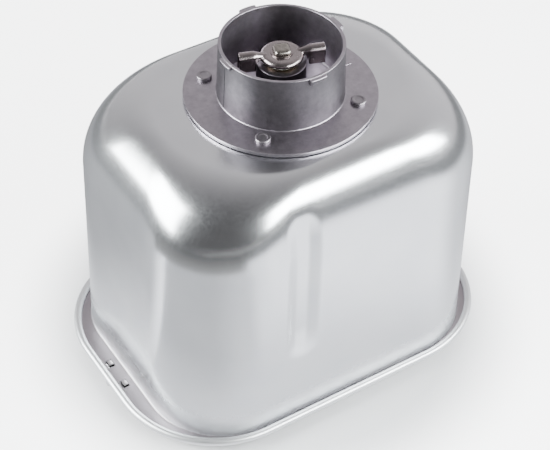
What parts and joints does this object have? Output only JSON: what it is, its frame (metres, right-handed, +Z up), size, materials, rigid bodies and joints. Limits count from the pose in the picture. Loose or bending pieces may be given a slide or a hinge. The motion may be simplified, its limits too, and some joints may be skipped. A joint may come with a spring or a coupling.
{
  "type": "bread machine baking pan",
  "caption": "Deep-drawn aluminium baking pan with a cast bayonet collar, a winged drive coupling on a sealed shaft, and a folding wire handle.",
  "frame": {"origin": "middle of the footprint on the drive axis, at the level of the floor that the upturned pan stands on", "axes": "+Z up along the drive axis towards the collar, X along the long side of the pan, Y across it"},
  "size_m": [0.21, 0.152, 0.1867],
  "materials": {
    "pan_aluminium": "satin drawn outside, dark non-stick coating inside",
    "cast_aluminium": "matte die cast",
    "steel_wire": "drawn",
    "gasket": "matte",
    "rivet": "pressed",
    "bronze": "sintered",
    "seal_rubber": "moulded",
    "nylon": "matte",
    "stainless": "pressed and polished",
    "shaft_steel": "ground",
    "handle_wire": "drawn and polished",
    "bracket_steel": "pressed"
  },
  "bodies": {
    "pan": {"pan_shell": "pan_aluminium", "rim_wire": "steel_wire", "drive_base": "cast_aluminium", "base_gasket": "gasket", "base_rivets": "rivet", "upper_bush": "bronze", "lower_bush": "bronze", "shaft_seal": "seal_rubber", "seal_spring": "steel_wire", "seal_cap": "stainless", "bracket_left": "bracket_steel", "bracket_right": "bracket_steel"},
    "drive": {"drive_shaft": "shaft_steel", "wing_coupling": "stainless", "coupling_spacer": "shaft_steel", "coupling_washer": "stainless", "inner_thrust_washer": "nylon", "outer_thrust_washer": "nylon", "shaft_circlip": "stainless"},
    "handle": {"handle_bail": "handle_wire"}
  },
  "joints": [
    {"name": "drive_spin", "type": "hinge", "parent": "pan", "child": "drive", "pos_m": [0, 0, 0.18], "axis": [0, 0, 1], "continuous": true},
    {"name": "handle_swing", "type": "hinge", "parent": "pan", "child": "handle", "pos_m": [0, 0, 0.00284], "axis": [-1, 0, 0], "range_deg": [0, 175]}
  ]
}
